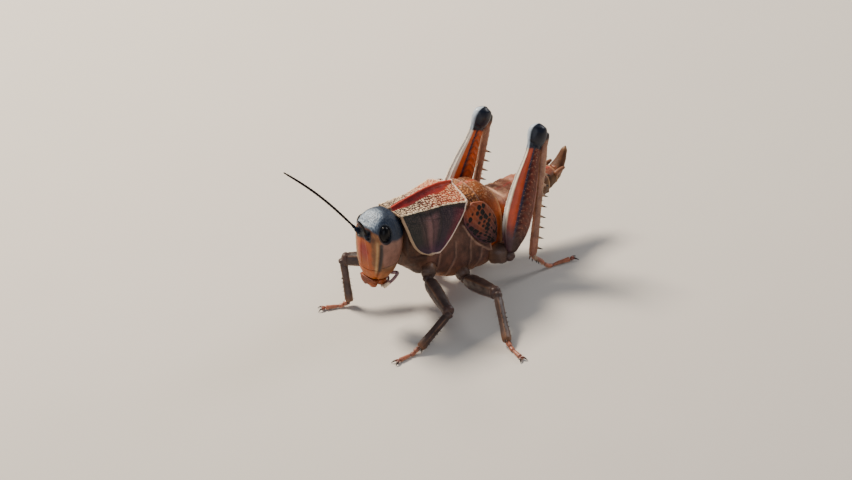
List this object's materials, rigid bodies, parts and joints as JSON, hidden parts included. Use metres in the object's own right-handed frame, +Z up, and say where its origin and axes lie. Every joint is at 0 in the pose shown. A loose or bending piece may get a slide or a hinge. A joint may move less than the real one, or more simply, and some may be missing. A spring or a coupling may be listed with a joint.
{
  "type": "grasshopper model",
  "caption": "Life-size standing lubber grasshopper with a crested neck shield, short wing pads, thread feelers and spined jumping legs; a still display model",
  "frame": {"origin": "centre of the footprint, on the floor under the feet", "axes": "+Z up, +Y towards the tip of the abdomen, so the head faces -Y; +X towards the animal's left"},
  "size_m": [0.053, 0.0538, 0.0311],
  "materials": {
    "head_cuticle": "satin slate-blue cuticle with an orange and cream face, fine wrinkles",
    "eye": "glossy near-black compound eye, fine facets",
    "mouthparts": "satin orange-brown",
    "palp": "satin pink-mauve with a pale tip",
    "feeler": "satin black-brown, ringed",
    "shield": "granular cuticle, red-brown disc and slate lobe with a cream border",
    "flank": "satin pinkish grey-brown plates with pale sutures",
    "abdomen": "satin orange-tan rings, fine granules and ridges",
    "wing_pad": "leathery pink-orange with black spots between pale veins",
    "walking_leg": "satin grey-mauve with tan-orange edges",
    "jumping_thigh": "satin orange with cream and indigo bands, glossy blue-black knee",
    "jumping_shin": "satin pinkish tan, black-tipped spines",
    "foot": "satin reddish brown"
  },
  "bodies": {
    "root": {"abdomen_1": "abdomen", "abdomen_2": "abdomen", "abdomen_3": "abdomen", "abdomen_4": "abdomen", "abdomen_5": "abdomen", "abdomen_6": "abdomen", "abdomen_7": "abdomen", "abdomen_8": "abdomen", "antenna_left": "feeler", "antenna_right": "feeler", "cercus_left": "abdomen", "cercus_right": "abdomen", "coxa_front_left": "walking_leg", "coxa_front_right": "walking_leg", "coxa_hind_left": "walking_leg", "coxa_hind_right": "walking_leg", "coxa_mid_left": "walking_leg", "coxa_mid_right": "walking_leg", "eye_left": "eye", "eye_right": "eye", "femur_front_left": "walking_leg", "femur_front_right": "walking_leg", "femur_hind_left": "jumping_thigh", "femur_hind_right": "jumping_thigh", "femur_mid_left": "walking_leg", "femur_mid_right": "walking_leg", "head": "head_cuticle", "labrum": "mouthparts", "mandible_left": "mouthparts", "mandible_right": "mouthparts", "mesothorax": "flank", "metathorax": "flank", "palp_left": "palp", "palp_right": "palp", "pronotum": "shield", "prothorax": "flank", "subgenital_plate": "abdomen", "supra_anal_plate": "abdomen", "tarsus_front_left": "foot", "tarsus_front_right": "foot", "tarsus_hind_left": "foot", "tarsus_hind_right": "foot", "tarsus_mid_left": "foot", "tarsus_mid_right": "foot", "tegmen_left": "wing_pad", "tegmen_right": "wing_pad", "tibia_front_left": "walking_leg", "tibia_front_right": "walking_leg", "tibia_hind_left": "jumping_shin", "tibia_hind_right": "jumping_shin", "tibia_mid_left": "walking_leg", "tibia_mid_right": "walking_leg"}
  },
  "joints": []
}
